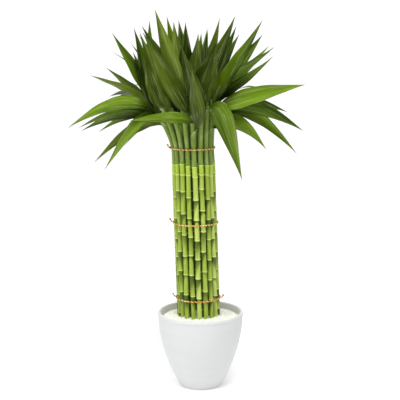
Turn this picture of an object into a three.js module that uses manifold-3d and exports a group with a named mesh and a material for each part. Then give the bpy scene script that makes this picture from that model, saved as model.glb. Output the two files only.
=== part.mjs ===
// Lucky bamboo tower: a bundle of upright Dracaena canes, tied three times with gold wire, in a white
// ceramic pot filled with white gravel. Each cane carries a shoot: a neck of wrapped sheaths with its leaves.
// Millimetres, +Z up, origin at the centre of the pot's base. The front of the plant faces -Y.
import * as THREE from "three";
import { mergeVertices } from "three/addons/utils/BufferGeometryUtils.js";
import Module from "manifold-3d";

const wasm = await Module();
wasm.setup();

// Pot and its filling
const POT = { height: 172, baseRadius: 46, rimRadius: 96, bulge: 0.88, wall: 6, floor: 9 };
const LIP = { proud: 1.2, height: 9 };
const POT_SEGMENTS = 40;
const POT_INSIDE = [0.16, 0.4, 0.68, 0.9];
const GRAVEL = { edge: 156, crown: 168, relief: 1.6, segments: 24 };
const GAP = 0.3;

// Bundle of canes: an outer ring that shows and an inner ring behind it, all leaning a little to the left
const RINGS = {
  outer: { count: 19, radius: 43.5, phase: 3.2, sides: 6, girth: 1 },
  inner: { count: 8, radius: 28.5, phase: 14, sides: 5, girth: 1.1 },
};
const LEAN = { foot: -4, perMillimetre: -0.0335, from: 165 };
const CANE = { bottom: 40, top: 511, topSpread: 4, thin: 4.8, thick: 5.6 };
const NODE = { flare: 1.09, waist: 0.92, step: 1.4 };
const INTERNODE = { first: [20, 26], other: [41, 49], lowest: 178, stagger: [-8, 13] };
const STAGGER_SEED = 100;
const TWIST = 3;
const ZIGZAG = { across: 0.9, inOut: 0.5 };

// Wire ties: the height of each and where its twisted ends stick out
const TIES = [
  { name: "tie_lower", height: 205, tails: [268, 86] },
  { name: "tie_middle", height: 377, tails: [272] },
  { name: "tie_upper", height: 545, tails: [277] },
];
const WIRE = { radius: 1.4, sides: 5, slack: 0.9, tail: 13 };

// Shoots: a neck's own bends as distances outwards and upwards, and how far out the necks end, by side
const NECK = { share: 0.94, end: 0.75, sides: 6, tie: [-3.5, 41], bend: [0.28, 78], top: 125, spread: 15 };
const NECK_SHARES = [0, 0.3, 0.58, 0.74, 0.88, 1];
const FLARE = { left: 44, right: 6, inner: -4, spread: 4, innerRise: 12 };
const FIRST_LEAF_BAND = 2;

// Leaves: the shares of their length where their outline bends, and how they leave the neck
const STATIONS = [0.1, 0.27, 0.48, 0.7, 0.87];
const BLADE = { thickness: 1.6, channel: 0.2, foot: 0.16, slimness: 1.3 };
const START = { share: 0.2, outward: 1.2 };
const SITE = { heightWeight: 5, outward: 0.4 };
const KNEE = 0.44;
const HEADING_PULL = 45;

// Room round the leaves: cells that one shoot has taken are closed to the others, and beyond its root a leaf
// keeps out of its own neck and of the other leaves on it
const ROOM = { cell: 2, low: [-330, -330, 480], cells: [330, 330, 218] };
const ROOT = { fromNeck: 0.2, fromLeaves: 0.1 };
const TURNS = { sites: 3, step: 4, rings: 5, spokes: 8, rolls: [0, 25, -25] };

const COLOURS = {
  pot: { color: 0xe6e8e8, roughness: 0.55 },
  gravel: { color: 0xe9e8dc, roughness: 0.9 },
  cane: { color: 0xa2bd4a, roughness: 0.45 },
  shoot: { color: 0x4f7a1c, roughness: 0.4 },
  wire: { color: 0xc98a2b, roughness: 0.3, metalness: 0.9 },
};

const radians = THREE.MathUtils.degToRad;
const up = new THREE.Vector3(0, 0, 1);
const sideways = new THREE.Vector3(1, 0, 0);

// The same draws each time for the same seed
function drawsFrom(seed) {
  let count = 0;
  return (low, high) => {
    const wave = Math.sin(++count * 12.9898 + seed * 78.233) * 43758.5453;
    return low + (high - low) * (wave - Math.floor(wave));
  };
}

// A direction in plan, measured from the front (-Y) towards the right (+X)
function compass(degrees) {
  return new THREE.Vector3(Math.sin(radians(degrees)), -Math.cos(radians(degrees)), 0);
}

// Skins a row of rings, each with the same number of points. The ends are closed, or joined for a loop.
function skin(rings, looped = false) {
  const sides = rings[0].length;
  const points = rings.flat();
  const faces = [];
  const bands = looped ? rings.length : rings.length - 1;
  for (let i = 0; i < bands; i++)
    for (let j = 0; j < sides; j++) {
      const [a, b] = [i * sides + j, i * sides + ((j + 1) % sides)];
      const next = (i + 1) % rings.length;
      const [c, d] = [next * sides + j, next * sides + ((j + 1) % sides)];
      faces.push([a, b, d], [a, d, c]);
    }
  const last = (rings.length - 1) * sides;
  for (let j = 1; j < sides - 1 && !looped; j++) faces.push([0, j + 1, j], [last, last + j, last + j + 1]);
  return geometryOf(points, faces);
}

function geometryOf(points, faces) {
  const geometry = new THREE.BufferGeometry().setFromPoints(points);
  geometry.setIndex(faces.flat());
  return geometry;
}

function solidOf(geometry) {
  const bare = geometry.index ? geometry.toNonIndexed() : geometry.clone();
  const onlyPlaces = new THREE.BufferGeometry().setAttribute("position", bare.getAttribute("position"));
  const merged = mergeVertices(onlyPlaces, 1e-4);
  return new wasm.Manifold(
    new wasm.Mesh({
      numProp: 3,
      vertProperties: merged.attributes.position.array,
      triVerts: new Uint32Array(merged.index.array),
    }),
  );
}

function geometryFrom(solid) {
  const mesh = solid.getMesh();
  return new THREE.BufferGeometry()
    .setAttribute("position", new THREE.BufferAttribute(mesh.vertProperties, 3))
    .setIndex(new THREE.BufferAttribute(mesh.triVerts, 1));
}

// A ring square to a direction; its first corner is the one nearest to the direction start
function ringAround(centre, radius, sides, along = up, start = sideways) {
  const first = start.clone().addScaledVector(along, -start.dot(along)).normalize();
  const second = new THREE.Vector3().crossVectors(along, first);
  return Array.from({ length: sides }, (_, i) => {
    const angle = (i / sides) * 2 * Math.PI;
    return centre
      .clone()
      .addScaledVector(first, radius * Math.cos(angle))
      .addScaledVector(second, radius * Math.sin(angle));
  });
}

// Pot: an egg-shaped cup with a flat base and a rolled lip
function potRadius(z) {
  const share = Math.pow(Math.max(z, 0) / POT.height, POT.bulge);
  return POT.baseRadius + (POT.rimRadius - POT.baseRadius) * Math.sin((share * Math.PI) / 2);
}

function potInside(z) {
  return potRadius(z) - POT.wall;
}

function lathe(profile, segments) {
  const points = profile.map(([r, z]) => new THREE.Vector2(r, z));
  return new THREE.LatheGeometry(points, segments).rotateX(Math.PI / 2);
}

function potGeometry() {
  const rim = potRadius(POT.height) - POT.wall / 2;
  const outside = [0.02, 0.1, 0.24, 0.42, 0.62, 0.8].map((share) => share * POT.height);
  const inside = POT_INSIDE.toReversed().map((share) => share * POT.height);
  const underLip = POT.height - LIP.height;
  return lathe(
    [
      [0, 0],
      [POT.baseRadius - 2, 0],
      ...outside.map((z) => [potRadius(z), z]),
      [potRadius(underLip) - 0.3, underLip],
      [potRadius(underLip) + LIP.proud, underLip + 2],
      [potRadius(POT.height) + 0.6, POT.height - 2.2],
      [rim, POT.height],
      [potInside(POT.height), POT.height - 2.5],
      ...inside.map((z) => [potInside(z), z]),
      [potInside(POT.floor) - 3, POT.floor],
      [0, POT.floor],
    ],
    POT_SEGMENTS,
  );
}

// Gravel: fills the pot, heaped a little round the canes, with an uneven top
function gravelHeight(x, y) {
  const share = Math.min(Math.hypot(x, y) / potInside(GRAVEL.edge), 1);
  const heap = GRAVEL.edge + (GRAVEL.crown - GRAVEL.edge) * (1 - share * share);
  return heap + GRAVEL.relief * Math.sin(x * 0.61 + 1.3) * Math.cos(y * 0.53 + x * 0.17);
}

function gravelGeometry() {
  const levels = POT_INSIDE.map((share) => share * POT.height);
  const clear = (z) => potInside(z) - 2 * GAP;
  const rings = [80, 66, 40, 0];
  const geometry = lathe(
    [
      [0, POT.floor + GAP],
      [potInside(POT.floor) - 3 - GAP, POT.floor + GAP],
      ...levels.map((z) => [clear(z), z]),
      ...rings.map((r) => [r, GRAVEL.crown]),
    ],
    GRAVEL.segments,
  );
  const place = geometry.getAttribute("position");
  for (let i = 0; i < place.count; i++)
    if (place.getZ(i) === GRAVEL.crown) place.setZ(i, gravelHeight(place.getX(i), place.getY(i)));
  return geometry;
}

// Canes: where each one stands, how thick it is and the heights of its nodes, from the top down
function leanAt(z) {
  return LEAN.foot + LEAN.perMillimetre * (z - LEAN.from);
}

function stalk(ring, place) {
  const { count, radius, phase, sides, girth } = RINGS[ring];
  const index = ring === "outer" ? place : RINGS.outer.count + place;
  const between = drawsFrom(index);
  const angle = phase + (place * 360) / count;
  const out = compass(angle);
  const along = compass(angle + 90);
  const thickness = girth * between(CANE.thin, CANE.thick);
  const heights = [CANE.top + between(-CANE.topSpread, CANE.topSpread)];
  heights.push(heights[0] - between(...INTERNODE.first));
  while (heights.at(-1) > INTERNODE.lowest) heights.push(heights.at(-1) - between(...INTERNODE.other));
  heights.pop();
  const stagger = drawsFrom(STAGGER_SEED + index)(...INTERNODE.stagger);
  const staggered = heights.map((z, i) => (i > 1 ? z + stagger : z));
  const joints = [...staggered, CANE.bottom].map((z) => {
    const [inOut, across] = [between(-ZIGZAG.inOut, ZIGZAG.inOut), between(-ZIGZAG.across, ZIGZAG.across)];
    return new THREE.Vector3(leanAt(z), 0, z)
      .addScaledVector(out, radius + inOut)
      .addScaledVector(along, across);
  });
  return { ring, index, angle, out, thickness, joints, sides, between };
}

const stalks = [
  ...Array.from({ length: RINGS.outer.count }, (_, i) => stalk("outer", i)),
  ...Array.from({ length: RINGS.inner.count }, (_, i) => stalk("inner", i)),
];

// Each internode widens to its lower end, then steps in to the next one below
function caneGeometry({ joints, thickness, sides, angle }) {
  const start = compass(angle * TWIST);
  const rings = [ringAround(joints[0], thickness, sides, up, start)];
  for (const [i, joint] of joints.slice(1, -1).entries()) {
    const step = joint.clone().lerp(joints[i + 2], NODE.step / joint.distanceTo(joints[i + 2]));
    rings.push(ringAround(joint, thickness * NODE.flare, sides, up, start));
    rings.push(ringAround(step, thickness * NODE.waist, sides, up, start));
  }
  rings.push(ringAround(joints.at(-1), thickness, sides, up, start));
  return skin(rings.reverse());
}

function holeGeometry({ joints, thickness, sides, angle }) {
  const [low, high] = [joints.at(-1), joints.at(-2)];
  const shrink = Math.cos(Math.PI / sides);
  const wide = (thickness * NODE.flare + GAP + 0.1) / shrink;
  const foot = low.clone().setZ(low.z - GAP);
  return skin([foot, high].map((centre) => ringAround(centre, wide, sides, up, compass(angle * TWIST))));
}

// The middle of a cane or neck at some height
function centreAt(points, z) {
  const i = Math.max(1, points.findIndex((p) => p.z <= z));
  const [above, below] = [points[i - 1], points[i]];
  return above.clone().lerp(below, (above.z - z) / (above.z - below.z));
}

// Necks: leaf sheaths wrapped round each other, drawn in by the upper tie and then spreading to the left
function neckCurve({ ring, angle, out, joints, between }) {
  const [middle, half] = [(FLARE.left + FLARE.right) / 2, (FLARE.left - FLARE.right) / 2];
  const flare = ring === "outer" ? middle - half * Math.sin(radians(angle)) : FLARE.inner;
  const foot = joints[0].clone().setZ(joints[0].z + GAP);
  const top = NECK.top + between(-NECK.spread, NECK.spread) + (ring === "outer" ? 0 : FLARE.innerRise);
  const place = (outward, z) =>
    foot
      .clone()
      .addScaledVector(out, outward)
      .add(new THREE.Vector3(LEAN.perMillimetre * z, 0, z));
  return new THREE.CubicBezierCurve3(
    foot,
    place(...NECK.tie),
    place(NECK.bend[0] * flare, NECK.bend[1]),
    place(flare + between(-FLARE.spread, FLARE.spread), top),
  );
}

function neckRings({ curve, thickness, angle }) {
  const start = compass(angle - 180 / NECK.sides);
  return NECK_SHARES.map((t) => {
    const radius = thickness * NECK.share * (t === 1 ? NECK.end : 1);
    return ringAround(curve.getPoint(t), radius, NECK.sides, t ? curve.getTangent(t) : up, start);
  });
}

// The places where a leaf can grow: each side of the neck's upper bands, and the neck's end
function leafSites({ rings, angle }) {
  const sites = [{ share: 1, band: rings.length - 1, corners: rings.at(-1), facing: null }];
  for (let band = FIRST_LEAF_BAND; band < rings.length - 1; band++)
    for (let side = 0; side < NECK.sides; side++) {
      const next = (side + 1) % NECK.sides;
      const [low, high] = [rings[band], rings[band + 1]];
      const corners = [low[side], low[next], high[next], high[side]];
      const share = (NECK_SHARES[band] + NECK_SHARES[band + 1]) / 2;
      sites.push({ share, band, side, corners, facing: compass(angle + (side * 360) / NECK.sides) });
    }
  return sites;
}

// Whether two sites share an edge, so that leaves on both would grow into each other
function touch(a, b) {
  const apart = Math.abs(a.side - b.side);
  const beside = a.band === b.band && (apart === 1 || apart === NECK.sides - 1);
  return beside || (apart === 0 && Math.abs(a.band - b.band) === 1);
}

// The free sites that suit a leaf best, by height and by the way they face
function bestSites(shoot, wish) {
  const heading = new THREE.Vector3(...wish.tip).sub(shoot.curve.getPoint(wish.from)).setZ(0).normalize();
  const aim = heading.addScaledVector(shoot.out, SITE.outward).normalize();
  const cost = ({ share, facing }) =>
    SITE.heightWeight * Math.abs(share - wish.from) + (facing ? 1 - facing.dot(aim) : 0);
  const grown = shoot.sites.filter((site) => site.taken);
  const free = shoot.sites.filter((site) => !site.taken && !grown.some((other) => touch(site, other)));
  return free.sort((a, b) => cost(a) - cost(b)).slice(0, TURNS.sites);
}

// Leaves: a midrib that leaves the neck outwards and then bends over, and a blade that is widest in the
// middle and drawn out to a fine tip
function halfWidth({ width }, t) {
  return (width / 2) * (BLADE.foot * (1 - t) ** 6 + (4 * t * (1 - t)) ** BLADE.slimness);
}

function makeLeaf(shoot, site, { tip, rise, width, roll }) {
  const base = site.corners.reduce((sum, corner) => sum.add(corner), new THREE.Vector3());
  base.divideScalar(site.corners.length);
  const end = new THREE.Vector3(...tip);
  const reach = base.distanceTo(end);
  const start = shoot.curve.getTangent(site.share);
  if (site.facing) start.addScaledVector(site.facing, START.outward).normalize();
  start.multiplyScalar(START.share * reach).add(base);
  const knee = base.clone().lerp(end, KNEE).addScaledVector(up, rise);
  const heading = end.clone().sub(base).setZ(0).addScaledVector(shoot.out, HEADING_PULL).normalize();
  return {
    shoot,
    site,
    width,
    midrib: new THREE.CubicBezierCurve3(base, start, knee, end),
    across: new THREE.Vector3(-heading.y, heading.x, 0),
    roll: radians(roll),
  };
}

// The middle of the blade, its side and its upper face's direction, a share t of the way to the tip
function bladeFrame(leaf, t) {
  const tangent = leaf.midrib.getTangent(t);
  const flat = leaf.across.clone().addScaledVector(tangent, -leaf.across.dot(tangent)).normalize();
  const face = new THREE.Vector3().crossVectors(tangent, flat);
  const side = flat.clone().multiplyScalar(Math.cos(leaf.roll)).addScaledVector(face, Math.sin(leaf.roll));
  return { centre: leaf.midrib.getPoint(t), side, face: new THREE.Vector3().crossVectors(tangent, side) };
}

function bladePoint({ centre, side, face }, half, share) {
  return centre
    .clone()
    .addScaledVector(side, half * share)
    .addScaledVector(face, BLADE.channel * half * Math.abs(share));
}

// The corners of the blade's section at one station: left edge, underside, right edge, upper side
function bladeRing(leaf, t) {
  const frame = bladeFrame(leaf, t);
  const half = halfWidth(leaf, t);
  const rib = (share) => frame.centre.clone().addScaledVector(frame.face, (BLADE.thickness / 2) * share);
  return [bladePoint(frame, half, 1), rib(-1), bladePoint(frame, half, -1), rib(1)];
}

// Points all over a blade, less than a cell apart, each with its share of the way to the tip
function bladeSamples(leaf) {
  const samples = [];
  const along = Math.ceil(leaf.midrib.v0.distanceTo(leaf.midrib.v3) / 1.6);
  for (let i = 1; i <= along; i++) {
    const t = i / along;
    const frame = bladeFrame(leaf, t);
    const half = halfWidth(leaf, t);
    const across = Math.ceil(half / 1.9);
    for (let j = -across; j <= across; j++)
      samples.push({ t, point: bladePoint(frame, half, across ? j / across : 0) });
  }
  return samples;
}

function neckSamples({ curve, thickness }) {
  const samples = [];
  for (let i = 0; i <= 60; i++) {
    const [centre, along] = [curve.getPoint(i / 60), curve.getTangent(i / 60)];
    for (const share of [0.3, 0.85]) {
      const ring = ringAround(centre, thickness * NECK.share * share, 12, along);
      samples.push(...ring.map((point) => ({ t: 0, point })));
    }
  }
  return samples;
}

const taken = new Int16Array(ROOM.cells[0] * ROOM.cells[1] * ROOM.cells[2]);
const SHARED = -1;

function cellOf({ point }) {
  const [x, y, z] = point.toArray().map((value, i) => Math.floor((value - ROOM.low[i]) / ROOM.cell));
  return (z * ROOM.cells[1] + y) * ROOM.cells[0] + x;
}

const neckMark = (shoot) => 2 * shoot.index + 1;
const leafMark = (shoot) => 2 * shoot.index + 2;

// Closes the samples' cells, and the ones next to them, to every other shoot. A neck's cells stay its own.
function take(shoot, samples, mark) {
  const [row, layer] = [ROOM.cells[0], ROOM.cells[0] * ROOM.cells[1]];
  const steps = [0, 1, -1, row, -row, layer, -layer];
  for (const cell of new Set(samples.map(cellOf)))
    for (const step of steps) {
      const before = taken[cell + step];
      if (before === neckMark(shoot)) continue;
      taken[cell + step] = before === 0 || before === leafMark(shoot) ? mark : SHARED;
    }
}

function isFree(shoot, samples) {
  return samples.every((sample) => {
    const mark = taken[cellOf(sample)];
    if (mark === neckMark(shoot)) return sample.t < ROOT.fromNeck;
    if (mark === leafMark(shoot)) return sample.t < ROOT.fromLeaves;
    return mark === 0;
  });
}

// Swings a leaf about its root, by the least turn that brings it clear of what is already there
function placeLeaf(shoot, wish) {
  const base = shoot.curve.getPoint(wish.from);
  const reach = new THREE.Vector3(...wish.tip).sub(base);
  const level = new THREE.Vector3().crossVectors(reach, up).normalize();
  for (let ring = 0; ring <= TURNS.rings; ring++)
    for (const site of bestSites(shoot, wish))
      for (let spoke = 0; spoke < (ring ? TURNS.spokes : 1); spoke++)
        for (const roll of TURNS.rolls) {
          const angle = (spoke / TURNS.spokes) * 2 * Math.PI;
          const swung = reach
            .clone()
            .applyAxisAngle(level, radians(TURNS.step * ring * Math.sin(angle)))
            .applyAxisAngle(up, radians(TURNS.step * ring * Math.cos(angle)));
          const tip = base.clone().add(swung).toArray();
          const leaf = makeLeaf(shoot, site, { ...wish, tip, roll: wish.roll + roll });
          const samples = bladeSamples(leaf);
          if (!isFree(shoot, samples)) continue;
          site.taken = true;
          take(shoot, samples, leafMark(shoot));
          return leaf;
        }
  return null;
}

// The leaves that give the front its outline. Tips are places in the part's frame.
const FRONT_LEAVES = [
  { shoot: 2, from: 0.93, tip: [89, -120, 486], rise: 60, width: 45, roll: 35 },
  { shoot: 3, from: 0.93, tip: [223, -92, 689], rise: 14, width: 44, roll: 60 },
  { shoot: 3, from: 1, tip: [133, -62, 826], rise: 0, width: 42, roll: 60 },
  { shoot: 4, from: 0.82, tip: [227, -22, 582], rise: 55, width: 40, roll: 60 },
  { shoot: 3, from: 0.7, tip: [143, -65, 546], rise: 66, width: 36, roll: 60 },
  { shoot: 5, from: 0.82, tip: [217, 12, 526], rise: 70, width: 36, roll: 60 },
  { shoot: 0, from: 0.95, tip: [-121, -112, 800], rise: 0, width: 38, roll: 40 },
  { shoot: 15, from: 0.93, tip: [-290, -40, 590], rise: 52, width: 38, roll: -45 },
  { shoot: 14, from: 0.83, tip: [-272, 0, 586], rise: 44, width: 32, roll: -35 },
  { shoot: 13, from: 0.83, tip: [-272, 45, 574], rise: 44, width: 32, roll: -50 },
  { shoot: 12, from: 0.83, tip: [-236, 75, 568], rise: 45, width: 30, roll: -50 },
  { shoot: 14, from: 0.66, tip: [-240, 20, 506], rise: 45, width: 30, roll: 60 },
  { shoot: 15, from: 0.8, tip: [-210, -55, 499], rise: 45, width: 30, roll: -40 },
  { shoot: 0, from: 0.8, tip: [-149, -130, 616], rise: 12, width: 30, roll: -50 },
  { shoot: 13, from: 0.95, tip: [-211, 35, 720], rise: 5, width: 26, roll: 60 },
  { shoot: 14, from: 0.96, tip: [-244, -10, 705], rise: 12, width: 26, roll: 40 },
  { shoot: 15, from: 0.97, tip: [-146, -30, 757], rise: 0, width: 30, roll: -50 },
  { shoot: 16, from: 0.95, tip: [-124, -60, 775], rise: 0, width: 30, roll: 40 },
  { shoot: 17, from: 0.95, tip: [-129, -75, 799], rise: 0, width: 32, roll: 40 },
  { shoot: 14, from: 1, tip: [-112, 15, 825], rise: 0, width: 30, roll: -60 },
  { shoot: 18, from: 1, tip: [-97, -60, 848], rise: 0, width: 38, roll: 50 },
  { shoot: 20, from: 1, tip: [75, -32, 834], rise: 0, width: 36, roll: -60 },
  { shoot: 24, from: 1, tip: [-75, 40, 834], rise: 0, width: 34, roll: -30 },
  { shoot: 25, from: 1, tip: [-59, 10, 822], rise: 0, width: 34, roll: 70 },
  { shoot: 23, from: 1, tip: [-49, 60, 825], rise: 0, width: 34, roll: 0 },
  { shoot: 26, from: 1, tip: [-32, -50, 820], rise: 0, width: 34, roll: 0 },
  { shoot: 1, from: 1, tip: [6, -88, 734], rise: 0, width: 24, roll: 0 },
  { shoot: 19, from: 0.93, tip: [2, -50, 798], rise: 0, width: 34, roll: 0 },
  { shoot: 2, from: 0.97, tip: [33, -112, 735], rise: 10, width: 28, roll: 0 },
  { shoot: 21, from: 1, tip: [42, 5, 829], rise: 0, width: 34, roll: -60 },
  { shoot: 21, from: 0.93, tip: [80, 34, 812], rise: 0, width: 32, roll: 60 },
  { shoot: 22, from: 1, tip: [88, 66, 794], rise: 0, width: 32, roll: 60 },
  { shoot: 5, from: 1, tip: [138, 32, 793], rise: 0, width: 34, roll: 60 },
  { shoot: 6, from: 1, tip: [155, 62, 768], rise: 0, width: 30, roll: 40 },
  { shoot: 4, from: 1, tip: [164, 5, 767], rise: 0, width: 32, roll: 60 },
  { shoot: 4, from: 0.92, tip: [164, -28, 749], rise: -12, width: 28, roll: 30 },
  { shoot: 6, from: 0.8, tip: [108, 62, 584], rise: 50, width: 30, roll: 30 },
  { shoot: 6, from: 0.9, tip: [198, 52, 617], rise: 45, width: 28, roll: 50 },
];

// What each shoot still lacks is drawn by rule, from drooping low leaves to the upright one in the middle
const RANKS = [
  { lean: [92, 112], length: [180, 215], from: 0.66, rise: 0.26 },
  { lean: [68, 84], length: [190, 230], from: 0.81, rise: 0.2 },
  { lean: [44, 58], length: [185, 225], from: 0.88, rise: 0.1 },
  { lean: [24, 36], length: [165, 200], from: 0.94, rise: 0 },
  { lean: [10, 22], length: [145, 180], from: 1, rise: 0 },
];

const RULED_LEAF = { width: [33, 44], roll: 40, turn: 40, backTurn: 25, backPull: 0.7, awayFrom: 105 };

// How many of each rank the rule adds: all at the back, and in front only what stands behind the listed ones
const RULED = {
  back: [1, 2, 2, 3, 1],
  front: [0, 0, 0, 3, 2],
  innerBack: [0, 0, 2, 4, 2],
  innerFront: [0, 0, 1, 4, 2],
};

function isAway(angle) {
  return Math.abs(((angle + 180) % 360) - 180) > RULED_LEAF.awayFrom;
}

function ruledCount({ ring, angle }, rank) {
  if (ring === "inner") return (isAway(angle) ? RULED.innerBack : RULED.innerFront)[rank];
  return (isAway(angle) ? RULED.back : RULED.front)[rank];
}

function ruledLeaf(shoot, rank) {
  const { lean, length, from, rise } = RANKS[rank];
  const { between, angle } = shoot;
  const { width, roll, turn, backTurn, backPull } = RULED_LEAF;
  const tilt = radians(between(...lean));
  const heading = isAway(angle)
    ? 180 + backPull * (angle - 180) + between(-backTurn, backTurn)
    : angle + between(-turn, turn);
  const reach = between(...length);
  const tip = shoot.curve
    .getPoint(from)
    .addScaledVector(compass(heading), reach * Math.sin(tilt))
    .addScaledVector(up, reach * Math.cos(tilt));
  return {
    from,
    tip: tip.toArray(),
    rise: rise * reach,
    width: between(...width),
    roll: between(-roll, roll),
  };
}

function growLeaves(shoots) {
  for (const shoot of shoots) take(shoot, neckSamples(shoot), neckMark(shoot));
  const grown = FRONT_LEAVES.map((wish) => placeLeaf(shoots[wish.shoot], wish));
  for (const rank of RANKS.keys())
    for (const shoot of shoots)
      for (let i = 0; i < ruledCount(shoot, rank); i++) grown.push(placeLeaf(shoot, ruledLeaf(shoot, rank)));
  return grown.filter(Boolean);
}

const shoots = stalks.map((plain) => {
  const shoot = { ...plain, curve: neckCurve(plain) };
  shoot.rings = neckRings(shoot);
  shoot.sites = leafSites(shoot);
  return shoot;
});
const leaves = growLeaves(shoots);

// A neck and its leaves as one skin: each leaf grows out of the open face of its site
function shootGeometry(shoot) {
  const points = shoot.rings.flat();
  const faces = [];
  const { sides } = NECK;
  for (let j = 1; j < sides - 1; j++) faces.push([0, j + 1, j]);
  for (let band = 0; band < shoot.rings.length - 1; band++)
    for (let side = 0; side < sides; side++) {
      if (shoot.sites.some((site) => site.taken && site.band === band && site.side === side)) continue;
      const [a, b] = [band * sides + side, band * sides + ((side + 1) % sides)];
      faces.push([a, b, b + sides], [a, b + sides, a + sides]);
    }
  const top = points.length - sides;
  if (!shoot.sites[0].taken) for (let j = 1; j < sides - 1; j++) faces.push([top, top + j, top + j + 1]);
  for (const leaf of leaves.filter((each) => each.shoot === shoot)) growBlade(leaf, points, faces);
  return geometryOf(points, faces);
}

function growBlade(leaf, points, faces) {
  const start = points.length;
  points.push(...STATIONS.flatMap((t) => bladeRing(leaf, t)), leaf.midrib.getPoint(1));
  const { site } = leaf;
  const rim = site.corners.map((corner) => points.indexOf(corner));
  faces.push(...bridge(rim, [start + 2, start + 1, start, start + 3], points));
  for (let i = 0; i < STATIONS.length - 1; i++)
    for (const [edge, rib, forward] of [[0, 1, true], [2, 1, false], [2, 3, true], [0, 3, false]]) {
      const [e, r] = [start + 4 * i + edge, start + 4 * i + rib];
      const pair = [[e, e + 4, r + 4], [e, r + 4, r]];
      faces.push(...(forward ? pair : pair.map((face) => face.toReversed())));
    }
  const last = start + 4 * (STATIONS.length - 1);
  for (let j = 0; j < 4; j++) faces.push([last + j, last + 4, last + ((j + 1) % 4)]);
}

// Joins two rims that run the same way round, starting from the corner above the first edge of the lower one
function bridge(low, high, points) {
  const middle = points[low[0]].clone().lerp(points[low[1]], 0.5);
  const away = (i) => middle.distanceToSquared(points[high[i]]);
  const first = high.reduce((best, _, i) => (away(i) < away(best) ? i : best), 0);
  const [from, to] = [(i) => low[i % low.length], (j) => high[(j + first) % high.length]];
  const faces = [];
  for (let i = 0, j = 0; i < low.length || j < high.length; )
    if ((i + 0.5) / low.length <= (j + 0.5) / high.length) faces.push([from(i), from(++i), to(j)]);
    else faces.push([from(i), to(j + 1), to(j++)]);
  return faces;
}

// Ties: gold wire drawn tight round the outer stalks, with its ends twisted together
function tieGeometry({ height, tails }) {
  const outer = shoots.filter(({ ring }) => ring === "outer");
  const touching = outer.map((shoot) => {
    const aboveCane = height > shoot.joints[0].z;
    const neck = NECK_SHARES.map((t) => shoot.curve.getPoint(t)).reverse();
    const centre = centreAt(aboveCane ? neck : shoot.joints, height);
    const thick = aboveCane ? shoot.thickness * NECK.share : shoot.thickness * NODE.flare;
    return centre.addScaledVector(shoot.out, thick + GAP + WIRE.radius);
  });
  const centre = new THREE.Vector3(leanAt(height), 0, height);
  const path = touching.flatMap((point, i) => {
    const middle = point.clone().lerp(touching[(i + 1) % touching.length], 0.5);
    const inward = centre.clone().sub(middle).normalize();
    return [point, middle.addScaledVector(inward, WIRE.slack)];
  });
  const rings = path.map((point, i) => {
    const along = path[(i + 1) % path.length].clone().sub(path.at(i - 1)).normalize();
    return ringAround(point, WIRE.radius, WIRE.sides, along, up);
  });
  const loop = solidOf(skin(rings, true));
  return geometryFrom(tails.reduce((wire, tail) => wire.add(solidOf(tailGeometry(touching, tail))), loop));
}

function tailGeometry(touching, angle) {
  const out = compass(angle);
  const root = touching.reduce((best, point) => (point.dot(out) > best.dot(out) ? point : best));
  const points = [0, 0.5, 1].map((share) =>
    root
      .clone()
      .addScaledVector(out, share * WIRE.tail * 0.5)
      .addScaledVector(compass(0), share * WIRE.tail * 0.3)
      .addScaledVector(up, share * share * WIRE.tail * 0.7),
  );
  const way = points[2].clone().sub(points[0]).normalize();
  return skin(points.map((point, i) => ringAround(point, WIRE.radius * (1 - 0.2 * i), 4, way)));
}

// The whole object
function mesh(name, geometry, colour) {
  const made = new THREE.Mesh(geometry, new THREE.MeshStandardMaterial(colour));
  made.name = name;
  return made;
}

const number = (index) => String(index + 1).padStart(2, "0");
const tower = new THREE.Group();
tower.add(mesh("pot", potGeometry(), COLOURS.pot));
const holes = stalks.map((each) => solidOf(holeGeometry(each)));
const bed = holes.reduce((whole, hole) => whole.subtract(hole), solidOf(gravelGeometry()));
tower.add(mesh("gravel", geometryFrom(bed), COLOURS.gravel));
for (const shoot of shoots) {
  tower.add(mesh(`cane_${number(shoot.index)}`, caneGeometry(shoot), COLOURS.cane));
  tower.add(mesh(`shoot_${number(shoot.index)}`, shootGeometry(shoot), COLOURS.shoot));
}
for (const tie of TIES) tower.add(mesh(tie.name, tieGeometry(tie), COLOURS.wire));

export default tower;
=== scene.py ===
"""Lucky bamboo tower in a white pot: the looks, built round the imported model.

Lengths are millimetres up to the moment a mesh is made, and metres after it. +Z is up, the front faces -Y,
and the origin is the centre of the pot's base.
"""
import functools
import math
import random
from dataclasses import dataclass, field

import bmesh
import bpy
import numpy as np
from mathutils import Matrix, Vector


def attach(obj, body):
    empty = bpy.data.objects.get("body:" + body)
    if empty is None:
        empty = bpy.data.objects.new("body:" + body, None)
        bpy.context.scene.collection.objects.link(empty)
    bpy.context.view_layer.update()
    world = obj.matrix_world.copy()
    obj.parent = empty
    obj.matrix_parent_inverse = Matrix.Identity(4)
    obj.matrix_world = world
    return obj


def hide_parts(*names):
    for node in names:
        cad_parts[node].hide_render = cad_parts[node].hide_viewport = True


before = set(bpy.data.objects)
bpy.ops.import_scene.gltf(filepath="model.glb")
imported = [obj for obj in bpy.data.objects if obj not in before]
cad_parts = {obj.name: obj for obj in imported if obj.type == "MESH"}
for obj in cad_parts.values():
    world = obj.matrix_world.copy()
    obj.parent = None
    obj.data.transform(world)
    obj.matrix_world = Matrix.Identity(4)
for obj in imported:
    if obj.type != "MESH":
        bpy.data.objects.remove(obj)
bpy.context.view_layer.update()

MM = 0.001
RIGHT, UP = np.array([1.0, 0.0, 0.0]), np.array([0.0, 0.0, 1.0])
WAVE = dict(draw=12.9898, seed=78.233, size=43758.5453)

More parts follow.
